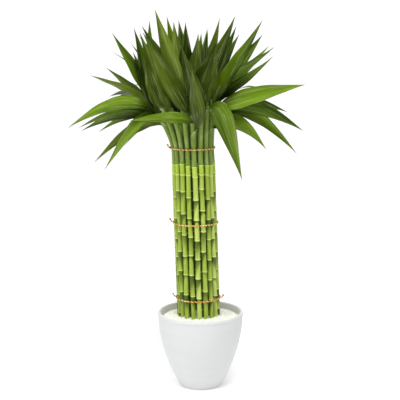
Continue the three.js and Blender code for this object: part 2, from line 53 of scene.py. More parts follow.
# The forms of the solids: the same values as in the part's own source
POT = dict(height=172, base_radius=46, rim_radius=96, bulge=0.88, wall=6, floor=9)
LIP = dict(proud=1.2, height=9)
GRAVEL = dict(edge=156, crown=168, relief=1.6)
OUTER = dict(count=19, radius=43.5, phase=3.2, girth=1)
INNER = dict(count=8, radius=28.5, phase=14, girth=1.1)
LEAN = dict(foot=-4, per_millimetre=-0.0335, start=165)
CANE = dict(bottom=40, top=511, top_spread=4, thin=4.8, thick=5.6)
NODE = dict(flare=1.09)
INTERNODE = dict(first=(20, 26), other=(41, 49), lowest=178, stagger=(-8, 13))
STAGGER_SEED = 100
ZIGZAG = dict(across=0.9, in_out=0.5)
TIES = (("lower", 205, (268, 86)), ("middle", 377, (272,)), ("upper", 545, (277,)))
WIRE = dict(radius=1.4, slack=0.9, tail=13)
GAP = 0.3
NECK = dict(share=0.94, end=0.75, sides=6, tie=(-3.5, 41), bend=(0.28, 78), top=125, spread=15)
NECK_SHARES = (0, 0.3, 0.58, 0.74, 0.88, 1)
FLARE = dict(left=44, right=6, inner=-4, spread=4, inner_rise=12)
FIRST_LEAF_BAND = 2
BLADE = dict(channel=0.2, foot=0.16, slimness=1.3)
START = dict(share=0.2, outward=1.2)
SITE = dict(height_weight=5, outward=0.4)
KNEE = 0.44
HEADING_PULL = 45
ROOM = dict(cell=2, low=(-330, -330, 480), cells=(330, 330, 218))
FEEL = dict(along=1.6, across=1.9, neck_steps=60, neck_shares=(0.3, 0.85), neck_sides=12)
ROOT = dict(from_neck=0.2, from_leaves=0.1)
TURNS = dict(sites=3, step=4, rings=5, spokes=8, rolls=(0, 25, -25))


def draws_from(seed):
    """The same draws each time for the same seed."""
    count = 0

    def between(low, high):
        nonlocal count
        count += 1
        wave = math.sin(count * WAVE["draw"] + seed * WAVE["seed"]) * WAVE["size"]
        return low + (high - low) * (wave - math.floor(wave))

    return between


def compass(degrees):
    """A direction in plan, measured from the front towards the right."""
    turn = math.radians(degrees)
    return np.array([math.sin(turn), -math.cos(turn), 0.0])


def unit(vectors):
    return vectors / np.linalg.norm(vectors, axis=-1, keepdims=True)


def turned(vector, axis, angle):
    cos, sin = math.cos(angle), math.sin(angle)
    return vector * cos + np.cross(axis, vector) * sin + axis * (axis @ vector) * (1 - cos)


def round_turns(sides):
    """The turns, in radians, of points spaced evenly round a circle."""
    return np.arange(sides) / sides * 2 * math.pi


def smooth_step(values, low, high):
    share = np.clip((np.asarray(values, float) - low) / (high - low), 0, 1)
    return share * share * (3 - 2 * share)


class Bend:
    """A cubic curve through space, set by its two ends and two handles."""

    def __init__(self, *points):
        self.points = np.array(points, float)

    def at(self, t):
        t = np.asarray(t, float)[..., None]
        rest = 1 - t
        first, second, third, last = self.points
        return rest**3 * first + 3 * rest**2 * t * second + 3 * rest * t**2 * third + t**3 * last

    def tangent(self, t):
        t = np.asarray(t, float)
        step = 1e-4
        return unit(self.at(np.clip(t + step, 0, 1)) - self.at(np.clip(t - step, 0, 1)))


def ring_around(centre, radius, sides, along, start):
    first = unit(start - along * (start @ along))
    second = np.cross(along, first)
    turns = round_turns(sides)[:, None]
    return centre + radius * (np.cos(turns) * first + np.sin(turns) * second)


# Canes: where each one stands, how thick it is and where its joints are, from the top down
def lean_at(z):
    return LEAN["foot"] + LEAN["per_millimetre"] * (z - LEAN["start"])


@dataclass
class Shoot:
    index: int
    outer: bool
    angle: float
    thickness: float
    joints: np.ndarray
    between: object
    curve: Bend = None
    rings: list = None
    sites: list = None
    leaves: list = field(default_factory=list)

    @property
    def out(self):
        return compass(self.angle)

    @property
    def number(self):
        return f"{self.index + 1:02d}"

    @property
    def nodes(self):
        return self.joints[1:-1, 2]

    @property
    def neck_mark(self):
        return 2 * self.index + 1

    @property
    def leaf_mark(self):
        return 2 * self.index + 2


def stalk(form, place):
    outer = form is OUTER
    index = place if outer else OUTER["count"] + place
    between = draws_from(index)
    angle = form["phase"] + place * 360 / form["count"]
    out, along = compass(angle), compass(angle + 90)
    thickness = form["girth"] * between(CANE["thin"], CANE["thick"])
    heights = [CANE["top"] + between(-CANE["top_spread"], CANE["top_spread"])]
    heights.append(heights[0] - between(*INTERNODE["first"]))
    while heights[-1] > INTERNODE["lowest"]:
        heights.append(heights[-1] - between(*INTERNODE["other"]))
    stagger = draws_from(STAGGER_SEED + index)(*INTERNODE["stagger"])
    heights = heights[:2] + [z + stagger for z in heights[2:-1]] + [CANE["bottom"]]
    joints = []
    for z in heights:
        in_out = between(-ZIGZAG["in_out"], ZIGZAG["in_out"])
        across = between(-ZIGZAG["across"], ZIGZAG["across"])
        joints.append(np.array([lean_at(z), 0, z]) + out * (form["radius"] + in_out) + along * across)
    return Shoot(index, outer, angle, thickness, np.array(joints), between)


def neck_curve(shoot):
    middle, half = (FLARE["left"] + FLARE["right"]) / 2, (FLARE["left"] - FLARE["right"]) / 2
    flare = middle - half * math.sin(math.radians(shoot.angle)) if shoot.outer else FLARE["inner"]
    foot = shoot.joints[0] + UP * GAP
    top = NECK["top"] + shoot.between(-NECK["spread"], NECK["spread"])
    top += 0 if shoot.outer else FLARE["inner_rise"]
    end = flare + shoot.between(-FLARE["spread"], FLARE["spread"])

    def place(outward, z):
        return foot + shoot.out * outward + np.array([LEAN["per_millimetre"] * z, 0, z])

    bend, rise = NECK["bend"]
    return Bend(foot, place(*NECK["tie"]), place(bend * flare, rise), place(end, top))


def neck_rings(shoot):
    start = compass(shoot.angle - 180 / NECK["sides"])
    rings = []
    for t in NECK_SHARES:
        radius = shoot.thickness * NECK["share"] * (NECK["end"] if t == 1 else 1)
        along = shoot.curve.tangent(t) if t else UP
        rings.append(ring_around(shoot.curve.at(t), radius, NECK["sides"], along, start))
    return rings


# The places where a leaf can grow: each side of the neck's upper bands, and the neck's end
@dataclass
class Site:
    share: float
    band: int
    side: int
    base: np.ndarray
    facing: np.ndarray
    taken: bool = False


def leaf_sites(shoot):
    rings, sides = shoot.rings, NECK["sides"]
    sites = [Site(1, len(rings) - 1, -1, rings[-1].mean(axis=0), None)]
    for band in range(FIRST_LEAF_BAND, len(rings) - 1):
        for side in range(sides):
            pair = [side, (side + 1) % sides]
            base = np.concatenate([rings[band][pair], rings[band + 1][pair]]).mean(axis=0)
            share = (NECK_SHARES[band] + NECK_SHARES[band + 1]) / 2
            sites.append(Site(share, band, side, base, compass(shoot.angle + side * 360 / sides)))
    return sites


def touching(a, b):
    if -1 in (a.side, b.side):
        return False
    apart = abs(a.side - b.side)
    beside = a.band == b.band and apart in (1, NECK["sides"] - 1)
    return beside or (apart == 0 and abs(a.band - b.band) == 1)


def best_sites(shoot, wish):
    heading = unit((wish.tip - shoot.curve.at(wish.start)) * (1, 1, 0))
    aim = unit(heading + SITE["outward"] * shoot.out)

    def cost(site):
        turn = 0 if site.facing is None else 1 - site.facing @ aim
        return SITE["height_weight"] * abs(site.share - wish.start) + turn

    grown = [site for site in shoot.sites if site.taken]
    free = [site for site in shoot.sites
            if not site.taken and not any(touching(site, other) for other in grown)]
    return sorted(free, key=cost)[:TURNS["sites"]]


# Leaves: a midrib that leaves the neck outwards and then bends over, and a blade widest near the middle
@dataclass
class Wish:
    start: float
    tip: np.ndarray
    rise: float
    width: float
    roll: float
    tone: float = None


@dataclass
class Leaf:
    shoot: Shoot
    site: Site
    midrib: Bend
    across: np.ndarray
    width: float
    roll: float
    tone: float

    @property
    def reach(self):
        return np.linalg.norm(self.midrib.points[3] - self.midrib.points[0])


def make_leaf(shoot, site, wish, tip, roll):
    base = site.base
    reach = np.linalg.norm(tip - base)
    start = shoot.curve.tangent(site.share)
    if site.facing is not None:
        start = unit(start + site.facing * START["outward"])
    knee = base + (tip - base) * KNEE + UP * wish.rise
    heading = unit((tip - base) * (1, 1, 0) + shoot.out * HEADING_PULL)
    midrib = Bend(base, base + start * START["share"] * reach, knee, tip)
    across = np.array([-heading[1], heading[0], 0.0])
    return Leaf(shoot, site, midrib, across, wish.width, math.radians(roll), wish.tone)


def blade_share(t):
    """The blade's half width along its length, as a share of the widest."""
    return BLADE["foot"] * (1 - t) ** 6 + (4 * t * (1 - t)) ** BLADE["slimness"]


def blade_frames(leaf, t):
    """The middle of the blade, its side and its upper face's direction at each share t of its length."""
    tangent = leaf.midrib.tangent(t)
    flat = unit(leaf.across - tangent * (tangent @ leaf.across)[:, None])
    face = np.cross(tangent, flat)
    side = flat * math.cos(leaf.roll) + face * math.sin(leaf.roll)
    return leaf.midrib.at(t), side, np.cross(tangent, side)


@functools.lru_cache(maxsize=None)
def blade_layout(along, width):
    """The points that feel for room: their rows, shares of the length, side shares and half widths."""
    rows, sides = [], []
    halves = width / 2 * blade_share(np.arange(1, along + 1) / along)
    for row, half in enumerate(halves):
        across = math.ceil(half / FEEL["across"])
        rows += [row] * (2 * across + 1)
        sides += [step / across if across else 0 for step in range(-across, across + 1)]
    rows, sides = np.array(rows), np.array(sides)
    return rows, (rows + 1) / along, sides, halves[rows]


room = np.zeros(math.prod(ROOM["cells"]), np.int16)
SHARED = -1


def cells_of(points):
    x, y, z = np.floor((points - ROOM["low"]) / ROOM["cell"]).astype(int).T
    columns, rows, _ = ROOM["cells"]
    return (z * rows + y) * columns + x


def take(shoot, cells, mark):
    """Closes the cells, and the ones next to them, to every other shoot. A neck's cells stay its own."""
    columns, rows, _ = ROOM["cells"]
    steps = (0, 1, -1, columns, -columns, columns * rows, -columns * rows)
    cells = np.unique(np.concatenate([cells + step for step in steps]))
    before = room[cells]
    own_neck, own_leaf = before == shoot.neck_mark, before == shoot.leaf_mark
    room[cells] = np.where(own_neck, before, np.where((before == 0) | own_leaf, mark, SHARED))


def is_free(shoot, cells, t):
    if cells.min() < 0 or cells.max() >= len(room):
        return False
    marks = room[cells]
    near_neck = (marks == shoot.neck_mark) & (t < ROOT["from_neck"])
    near_leaf = (marks == shoot.leaf_mark) & (t < ROOT["from_leaves"])
    return bool(((marks == 0) | near_neck | near_leaf).all())


def room_for(shoot, leaf):
    """The cells that a leaf fills, or None where they aren't all free."""
    along = math.ceil(leaf.reach / FEEL["along"])
    rows, t, sides, halves = blade_layout(along, leaf.width)
    row_shares = np.arange(1, along + 1) / along
    if not is_free(shoot, cells_of(leaf.midrib.at(row_shares)), row_shares):
        return None
    centre, side, face = blade_frames(leaf, row_shares)
    lift = BLADE["channel"] * halves * np.abs(sides)
    points = centre[rows] + side[rows] * (halves * sides)[:, None] + face[rows] * lift[:, None]
    cells = cells_of(points)
    return cells if is_free(shoot, cells, t) else None


def place_leaf(shoot, wish):
    """Swings a leaf about its root, by the least turn that brings it clear of what is already there."""
    base = shoot.curve.at(wish.start)
    reach = wish.tip - base
    level = unit(np.cross(reach, UP))
    for ring in range(TURNS["rings"] + 1):
        for site in best_sites(shoot, wish):
            for spoke in range(TURNS["spokes"] if ring else 1):
                angle = spoke / TURNS["spokes"] * 2 * math.pi
                turn = math.radians(TURNS["step"] * ring)
                swung = turned(turned(reach, level, turn * math.sin(angle)), UP, turn * math.cos(angle))
                for roll in TURNS["rolls"]:
                    leaf = make_leaf(shoot, site, wish, base + swung, wish.roll + roll)
                    cells = room_for(shoot, leaf)
                    if cells is None:
                        continue
                    site.taken = True
                    take(shoot, cells, shoot.leaf_mark)
                    shoot.leaves.append(leaf)
                    return


# The leaves that give the front its outline: shoot, start on the neck, tip, rise, width, roll and paleness,
# which is part the leaf's own tone and part painted light and shade
FRONT_LEAVES = (
    (2, 0.93, (89, -120, 486), 60, 45, 35, 0.4),
    (3, 0.93, (223, -92, 689), 14, 44, 60, 0.6),
    (3, 1, (133, -62, 826), 0, 42, 60, 0.25),
    (4, 0.82, (227, -22, 582), 55, 40, 60, 0.15),
    (3, 0.7, (143, -65, 546), 66, 36, 60, 0.5),
    (5, 0.82, (217, 12, 526), 70, 36, 60, 0.55),
    (0, 0.95, (-121, -112, 800), 0, 38, 40, 0.25),
    (15, 0.93, (-290, -40, 590), 52, 38, -45, 0.5),
    (14, 0.83, (-272, 0, 586), 44, 32, -35, 0.3),
    (13, 0.83, (-272, 45, 574), 44, 32, -50, 0.1),
    (12, 0.83, (-236, 75, 568), 45, 30, -50, 0.35),
    (14, 0.66, (-240, 20, 506), 45, 30, 60, 0.45),
    (15, 0.8, (-210, -55, 499), 45, 30, -40, 0.6),
    (0, 0.8, (-149, -130, 616), 12, 30, -50, 0.5),
    (13, 0.95, (-211, 35, 720), 5, 26, 60, 0.4),
    (14, 0.96, (-244, -10, 705), 12, 26, 40, 0.65),
    (15, 0.97, (-146, -30, 757), 0, 30, -50, 0.15),
    (16, 0.95, (-124, -60, 775), 0, 30, 40, 0.35),
    (17, 0.95, (-129, -75, 799), 0, 32, 40, 0.2),
    (14, 1, (-112, 15, 825), 0, 30, -60, 0.35),
    (18, 1, (-97, -60, 848), 0, 38, 50, 0.45),
    (20, 1, (75, -32, 834), 0, 36, -60, 0.05),
    (24, 1, (-75, 40, 834), 0, 34, -30, 0.4),
    (25, 1, (-59, 10, 822), 0, 34, 70, 0.5),
    (23, 1, (-49, 60, 825), 0, 34, 0, 0.1),
    (26, 1, (-32, -50, 820), 0, 34, 0, 0),
    (1, 1, (6, -88, 734), 0, 24, 0, 0.3),
    (19, 0.93, (2, -50, 798), 0, 34, 0, 0.55),
    (2, 0.97, (33, -112, 735), 10, 28, 0, 0.45),
    (21, 1, (42, 5, 829), 0, 34, -60, 0.5),
    (21, 0.93, (80, 34, 812), 0, 32, 60, 0.05),
    (22, 1, (88, 66, 794), 0, 32, 60, 0.2),
    (5, 1, (138, 32, 793), 0, 34, 60, 0.25),
    (6, 1, (155, 62, 768), 0, 30, 40, 0.4),
    (4, 1, (164, 5, 767), 0, 32, 60, 0.25),
    (4, 0.92, (164, -28, 749), -12, 28, 30, 0.3),
    (6, 0.8, (108, 62, 584), 50, 30, 30, 0.5),
    (6, 0.9, (198, 52, 617), 45, 28, 50, 0.1),
)

# What each shoot still lacks is drawn by rule, from drooping low leaves to the upright one in the middle
RANKS = (
    dict(lean=(92, 112), length=(180, 215), start=0.66, rise=0.26),
    dict(lean=(68, 84), length=(190, 230), start=0.81, rise=0.2),
    dict(lean=(44, 58), length=(185, 225), start=0.88, rise=0.1),
    dict(lean=(24, 36), length=(165, 200), start=0.94, rise=0),
    dict(lean=(10, 22), length=(145, 180), start=1, rise=0),
)
RULED_LEAF = dict(width=(33, 44), roll=40, turn=40, back_turn=25, back_pull=0.7, away_from=105)
RULED_COUNTS = {
    (True, True): (1, 2, 2, 3, 1),
    (True, False): (0, 0, 0, 3, 2),
    (False, True): (0, 0, 2, 4, 2),
    (False, False): (0, 0, 1, 4, 2),
}


def is_away(angle):
    return abs((angle + 180) % 360 - 180) > RULED_LEAF["away_from"]


def ruled_leaf(shoot, rank):
    between, rule = shoot.between, RULED_LEAF
    tilt = math.radians(between(*rank["lean"]))
    if is_away(shoot.angle):
        turn = rule["back_turn"]
        heading = 180 + rule["back_pull"] * (shoot.angle - 180) + between(-turn, turn)
    else:
        heading = shoot.angle + between(-rule["turn"], rule["turn"])
    reach = between(*rank["length"])
    tip = shoot.curve.at(rank["start"]) + compass(heading) * reach * math.sin(tilt)
    tip = tip + UP * reach * math.cos(tilt)
    width = between(*rule["width"])
    return Wish(rank["start"], tip, rank["rise"] * reach, width, between(-rule["roll"], rule["roll"]))


def neck_samples(shoot):
    points = []
    for t in np.arange(FEEL["neck_steps"] + 1) / FEEL["neck_steps"]:
        centre, along = shoot.curve.at(t), shoot.curve.tangent(t)
        for share in FEEL["neck_shares"]:
            radius = shoot.thickness * NECK["share"] * share
            points.append(ring_around(centre, radius, FEEL["neck_sides"], along, RIGHT))
    return np.concatenate(points)


def grow_leaves(shoots):
    for shoot in shoots:
        take(shoot, cells_of(neck_samples(shoot)), shoot.neck_mark)
    for place, start, tip, rise, width, roll, tone in FRONT_LEAVES:
        place_leaf(shoots[place], Wish(start, np.array(tip, float), rise, width, roll, tone))
    for order, rank in enumerate(RANKS):
        for shoot in shoots:
            for _ in range(RULED_COUNTS[shoot.outer, is_away(shoot.angle)][order]):
                place_leaf(shoot, ruled_leaf(shoot, rank))


shoots = [stalk(form, place) for form in (OUTER, INNER) for place in range(form["count"])]
for shoot in shoots:
    shoot.curve = neck_curve(shoot)
    shoot.rings = neck_rings(shoot)
    shoot.sites = leaf_sites(shoot)
grow_leaves(shoots)


# Colours and materials
def tint(red, green, blue):
    """A colour as it is seen on a screen, from 0 to 255, turned into the renderer's linear values."""
    shares = [value / 255 for value in (red, green, blue)]
    linear = [share / 12.92 if share <= 0.04045 else ((share + 0.055) / 1.055) ** 2.4 for share in shares]
    return (*linear, 1)


class Value:
    """A socket that can be used in sums: each operator adds a Math node."""

    def __init__(self, finish, socket):
        self.finish, self.socket = finish, socket

    def math(self, operation, *values):
        return self.finish.add("ShaderNodeMath", dict(operation=operation), dict(enumerate(values)))

    def __add__(self, other):
        return self.math("ADD", self, other)

    def __sub__(self, other):
        return self.math("SUBTRACT", self, other)

    def __rsub__(self, other):
        return self.math("SUBTRACT", other, self)

    def __mul__(self, other):
        return self.math("MULTIPLY", self, other)

    __radd__, __rmul__ = __add__, __mul__


class Finish:
    """A material in the making, with its main shader. An underscore in a name stands for a space."""

    def __init__(self, name, **constants):
        self.material = bpy.data.materials.new(name)
        self.material.use_nodes = True
        self.tree = self.material.node_tree
        self.shader = self.tree.nodes["Principled BSDF"]
        for socket, value in constants.items():
            self.shader.inputs[socket.replace("_", " ")].default_value = value

    def add(self, kind, settings, sockets, out=0):
        """Any node: its settings first, then the values or links of its sockets. Gives one of its outputs."""
        node = self.tree.nodes.new(kind)
        for name, value in settings.items():
            setattr(node, name, value)
        for key, value in sockets.items():
            if isinstance(value, Value):
                self.tree.links.new(value.socket, node.inputs[key])
            else:
                node.inputs[key].default_value = value
        return Value(self, node.outputs[out])

    def mark(self, name):
        """A number kept at each point of the mesh."""
        return self.add("ShaderNodeAttribute", dict(attribute_name=name), {}, "Fac")

    def place(self, *stretch):
        """The place on the object in metres, multiplied along each axis."""
        place = self.add("ShaderNodeTexCoord", {}, {}, "Object")
        return self.add("ShaderNodeVectorMath", dict(operation="MULTIPLY"), {0: place, 1: stretch})

    def vector(self, x, y, z):
        return self.add("ShaderNodeCombineXYZ", {}, {0: x, 1: y, 2: z})

    def noise(self, vector, detail):
        return self.add("ShaderNodeTexNoise", {}, dict(Vector=vector, Scale=1, Detail=detail))

    def between(self, value, low, high):
        """Rises smoothly from 0 at low to 1 at high."""
        settings = dict(interpolation_type="SMOOTHSTEP")
        return self.add("ShaderNodeMapRange", settings, {"Value": value, "From Min": low, "From Max": high})

    def mix(self, share, first, second):
        return self.add("ShaderNodeMix", dict(data_type="RGBA"), {0: share, 6: first, 7: second}, 2)

    def coats(self, base, *coats):
        """A colour with others laid over it in turn, each by its own share."""
        for share, colour in coats:
            base = self.mix(share, base, colour)
        return base

    def bump(self, height, distance, strength):
        return self.add("ShaderNodeBump", {}, dict(Height=height, Distance=distance, Strength=strength))

    def done(self, **links):
        for socket, value in links.items():
            self.tree.links.new(value.socket, self.shader.inputs[socket.replace("_", " ")])
        return self.material


def cane_finish():
    """Smooth green cane: fine fibres, a dark wedge below each joint that is part its own colour and part
    painted shade, a lime head and pale rings.
    """
    look = Finish("green cane", Specular_IOR_Level=0.3)
    fibres = look.noise(look.place(1500, 1500, 25), detail=3)
    cloud = look.noise(look.place(60, 60, 14), detail=2)
    mottle = look.between(cloud + look.mark("tone") * 0.5 - 0.25, 0.3, 0.7)
    # Painted shade: a dark wedge below each joint, part the cane's own colour, and the inner canes darkened
    # where they stand in shade.
    joint_shade = look.between(look.mark("dark") + (cloud - 0.5) * 0.4, 0.02, 0.85)
    base = look.coats(
        look.mix(mottle, tint(184, 203, 96), tint(144, 168, 46)),
        (look.between(fibres, 0.35, 0.75) * 0.35, tint(200, 214, 118)),
        (joint_shade * 0.95, tint(62, 86, 0)),
        (look.mark("head") * 0.6, tint(176, 208, 62)),
        (look.mark("ring"), tint(214, 228, 132)),
    )
    rough = look.between(fibres, 0.2, 0.9) * 0.2 + 0.32
    return look.done(Base_Color=base, Roughness=rough, Normal=look.bump(fibres, 0.0002, 0.5))


def neck_finish():
    """Wrapped leaf sheaths: lengthwise ribs, a whitish bloom, pale edges and shade among the leaves."""
    look = Finish("leaf sheath", Specular_IOR_Level=0.22)
    around, rise, tone = (look.mark(name) for name in ("around", "rise", "tone"))
    ribs = look.noise(look.vector(around * 34, rise * 3, tone * 9), detail=2)
    cloud = look.noise(look.place(90, 90, 30), detail=3)
    base = look.coats(
        look.mix(look.between(ribs, 0.35, 0.7), tint(98, 126, 34), tint(150, 172, 84)),
        (look.between(cloud - rise * 0.12, 0.42, 0.7) * 0.55, tint(170, 184, 124)),
        (look.mark("edge"), tint(198, 208, 144)),
        (look.mark("shade") * 0.8, tint(62, 90, 10)),
    )
    rough = cloud * 0.3 + 0.35
    return look.done(Base_Color=base, Roughness=rough, Normal=look.bump(ribs, 0.0004, 0.6))


def leaf_finish():
    """Glossy leaf: paleness part its own and part painted light and shade, veins to the tip, painted
    highlights as pale streaks and gleams, a light midrib and a dull underside.
    """
    look = Finish("green leaf", Specular_IOR_Level=0.14, Specular_Tint=(0.8, 1, 0.25, 1))
    names = ("across", "along", "tone", "seed", "under")
    across, along, tone, seed, under = (look.mark(name) for name in names)
    veins = look.noise(look.vector(across * 38, along * 2.2, seed * 37), detail=3)
    streaks = look.noise(look.vector(across * 8, along * 1.1, seed * 53), detail=2)
    gleams = look.noise(look.vector(across * 19, along * 1.6, seed * 71), detail=3)
    patches = look.noise(look.vector(across * 1.5, along * 4, seed * 29), detail=1)
    cloud = look.noise(look.place(22, 22, 22), detail=3)
    pale = look.between(tone + (cloud - 0.5) * 0.4, -0.05, 1.05)
    # Painted highlights: pale streaks along the veins and small gleams, laid into the colour.
    painted_sheen = look.between(streaks, 0.5, 0.72) * (tone * 0.22 + 0.08)
    painted_gleam = look.between(gleams, 0.52, 0.62) * look.between(patches, 0.42, 0.62)
    upper = look.mix(pale, tint(20, 38, 0), tint(104, 136, 12))
    upper = look.mix(painted_sheen, upper, tint(170, 184, 112))
    lower = look.mix(pale, tint(28, 46, 0), tint(114, 134, 42))
    base = look.coats(
        look.mix(under, upper, lower),
        (look.between(veins, 0.3, 0.75) * 0.3, tint(36, 62, 0)),
        (painted_gleam * 0.34, tint(192, 204, 144)),
        (look.mark("rib") * 0.4, tint(116, 150, 44)),
        (look.mark("root") * 0.55, tint(140, 166, 80)),
        (look.mark("dry"), tint(150, 142, 92)),
    )
    rough = under * 0.16 + look.between(veins, 0.2, 0.8) * 0.12 + 0.24
    return look.done(Base_Color=base, Roughness=rough, Normal=look.bump(veins, 0.0006, 0.55))


def wire_finish():
    """Two strands of foil-covered wire, gold and copper, with painted shade where they touch and painted pale
    glints.
    """
    look = Finish("gold wire", Metallic=0.35, Specular_IOR_Level=0.5)
    glint_noise = look.noise(look.place(260, 260, 260), detail=1)
    # Painted shade where the strands touch, and painted pale glints.
    base = look.coats(
        look.mix(look.mark("strand"), tint(255, 220, 104), tint(202, 110, 22)),
        (look.mark("inside") * 0.7, tint(120, 60, 8)),
        (look.between(glint_noise, 0.56, 0.66), tint(255, 244, 180)),
    )
    return look.done(Base_Color=base, Roughness=glint_noise * 0.2 + 0.18)


def pot_finish():
    """Matt white ceramic with faint turning lines."""
    look = Finish("white ceramic", Specular_IOR_Level=0.35)
    lines = look.noise(look.place(5, 5, 420), detail=3)
    broad = look.noise(look.place(4, 4, 60), detail=2)
    base = look.coats(
        tint(213, 215, 214),
        (look.between(lines, 0.3, 0.7) * 0.25, tint(204, 206, 206)),
        (look.between(broad, 0.45, 0.7) * 0.3, tint(207, 209, 208)),
    )
    rough = lines * 0.25 + 0.42
    return look.done(Base_Color=base, Roughness=rough, Normal=look.bump(lines, 0.0003, 0.04))


def gravel_finish():
    """Fine cream-white gravel, each grain a little different."""
    look = Finish("cream gravel", Specular_IOR_Level=0.3)
    speck = look.noise(look.place(900, 900, 900), detail=3)
    base = look.coats(
        tint(253, 253, 247),
        (look.mark("tone"), tint(244, 243, 233)),
        (look.between(speck, 0.55, 0.8) * 0.2, tint(224, 218, 198)),
    )
    rough = speck * 0.2 + 0.7
    return look.done(Base_Color=base, Roughness=rough, Normal=look.bump(speck, 0.0003, 0.6))


# Meshes: a shape gathers parts, with numbers kept at their points, and becomes one piece
GRAIN_SEED, NECK_SEED, LEAF_SEED = 7, 100, 200
ANY_TURN = (0, 6.3)


def placed(name, data):
    """A new object, put in the scene."""
    thing = bpy.data.objects.new(name, data)
    bpy.context.scene.collection.objects.link(thing)
    return thing


class Shape:
    def __init__(self):
        self.points, self.faces, self.marks, self.count = [], [], {}, 0

    def add(self, points, faces, **marks):
        """Adds points, their faces, and marks: numbers that are spread over the points."""
        for name, values in marks.items():
            values = np.broadcast_to(values, points.shape[:-1]).ravel()
            self.marks.setdefault(name, []).append(values.astype(np.float32))
        self.faces += [[corner + self.count for corner in face] for face in faces]
        self.points.append(points.reshape(-1, 3))
        self.count += len(self.points[-1])

    def piece(self, name, finish, slot, *nodes, smooth=True):
        mesh = bpy.data.meshes.new(name)
        mesh.from_pydata((np.concatenate(self.points) * MM).tolist(), [], self.faces)
        for mark, values in self.marks.items():
            mesh.attributes.new(mark, "FLOAT", "POINT").data.foreach_set("value", np.concatenate(values))
        outward = bmesh.new()
        outward.from_mesh(mesh)
        bmesh.ops.recalc_face_normals(outward, faces=outward.faces)
        outward.to_mesh(mesh)
        outward.free()
        if smooth:
            mesh.shade_smooth()
        mesh.materials.append(finish)
        piece = placed(name, mesh)
        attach(piece, "root")
        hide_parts(*nodes)


def net(points, closed=True):
    """The quads of a net of points, row by row. A closed one joins its last column to its first."""
    rows, columns = points.shape[:2]
    row = np.arange(rows - 1)[:, None] * columns
    column = np.arange(columns if closed else columns - 1)
    after, above = (column + 1) % columns, row + columns
    quads = np.stack([row + column, row + after, above + after, above + column], axis=-1)
    return quads.reshape(-1, 4).tolist()


def capped(points):
    """The faces of a tube of points, with one over each end."""
    rows, columns = points.shape[:2]
    return net(points) + [list(range(columns)), list(range((rows - 1) * columns, rows * columns))]


def tube_points(centres, along, start, radii, turns):
    """Rings of points round centres, square to the way along. Start points to where a ring starts."""
    first = unit(start - along * (along * start).sum(axis=1)[:, None])[:, None]
    second = np.cross(along, first[:, 0])[:, None]
    radii, turns = np.asarray(radii)[..., None], np.asarray(turns)[..., None]
    return centres[:, None] + radii * (np.cos(turns) * first + np.sin(turns) * second)


def lathe(profile, segments):
    """A net turned round the Z axis from a row of radii and heights."""
    turns = round_turns(segments)
    radii, heights = np.array(profile, float).T[:, :, None]
    return np.stack([radii * np.cos(turns), radii * np.sin(turns), heights + 0 * turns], axis=-1)


def centres_at(points, heights):
    """Where a line through points passes each height."""
    order = np.argsort(points[:, 2])
    return np.stack([np.interp(heights, points[order, 2], points[order, axis]) for axis in range(3)], axis=-1)


def peak(values, middle, width, height=1):
    """The height at the middle, and close to 0 from two widths away."""
    return height * np.exp(-(((values - middle) / width) ** 2))


# Pot: its foot, and the steps out and up from where the lip begins and from the top of the rim
NEAR_AXIS = 0.01
POT_SEGMENTS = 144
POT_FOOT = ((NEAR_AXIS, 0), (30, 0), (POT["base_radius"] - 2.2, 0), (POT["base_radius"] - 0.8, 0.4))
LIP_STEPS = ((-0.1, 0), (0.5, 0.9), (LIP["proud"], 2.2))
RIM_STEPS = ((0.7, -3.6), (0.4, -2), (-0.5, -0.8), (-1.8, -0.1), (-3.2, 0), (-4.7, -0.6), (-5.6, -1.7),
             (-POT["wall"], -3.2))


def pot_radius(z):
    share = (max(z, 0) / POT["height"]) ** POT["bulge"]
    return POT["base_radius"] + (POT["rim_radius"] - POT["base_radius"]) * math.sin(share * math.pi / 2)


def make_pot():
    height, wall, floor = POT["height"], POT["wall"], POT["floor"]
    under = height - LIP["height"]
    outside = [(pot_radius(z), z) for z in (1.6, 3, 5, *range(8, under - 1, 4), under - 2)]
    lip = [(pot_radius(under) + out, under + up) for out, up in LIP_STEPS]
    rim = [(pot_radius(height) + out, height + up) for out, up in RIM_STEPS]
    inside = [(pot_radius(z) - wall, z) for z in range(height - 8, floor + 3, -6)]
    inside += [(pot_radius(floor) - wall - 3, floor), (NEAR_AXIS, floor)]
    points = lathe([*POT_FOOT, *outside, *lip, *rim, *inside], POT_SEGMENTS)
    cup = Shape()
    cup.add(points, capped(points))
    cup.piece("pot_cup", pot_finish(), "pot", "pot")


# Gravel: a plain bed, and loose grains laid over it
BED = dict(segments=96, below_grains=1.2, off_floor=0.5, foot=12, round=3, side_step=9, top_step=4, tone=0.6)
GRAIN = dict(apart=2.35, row_share=0.87, shake=0.8, from_edge=2, from_stem=6.2, size=(0.95, 1.75),
             stem_share=0.98, uneven=(0.78, 1.2), oval=(0.75, 1.2), sink=0.7, lift=(-0.5, 0.6))


def gravel_height(x, y):
    share = np.minimum(np.hypot(x, y) / (pot_radius(GRAVEL["edge"]) - POT["wall"]), 1)
    heap = GRAVEL["edge"] + (GRAVEL["crown"] - GRAVEL["edge"]) * (1 - share * share)
    return heap + GRAVEL["relief"] * np.sin(x * 0.61 + 1.3) * np.cos(y * 0.53 + x * 0.17)


def make_gravel_bed(finish):
    clear, bottom, edge = POT["wall"] + 2 * GAP, POT["floor"] + BED["off_floor"], GRAVEL["edge"]
    side = [(pot_radius(z) - clear, z) for z in range(BED["foot"], edge - 1, BED["side_step"])]
    top = [(radius, 0) for radius in (*np.arange(pot_radius(edge) - clear, 2, -BED["top_step"]), NEAR_AXIS)]
    foot = [(NEAR_AXIS, bottom), (side[0][0] - BED["round"], bottom)]
    points = lathe(foot + side + top, BED["segments"])
    surface = points[-len(top):]
    surface[..., 2] = gravel_height(surface[..., 0], surface[..., 1]) - BED["below_grains"]
    bed = Shape()
    bed.add(points, capped(points), tone=BED["tone"])
    bed.piece("gravel_bed", finish, "gravel", "gravel")


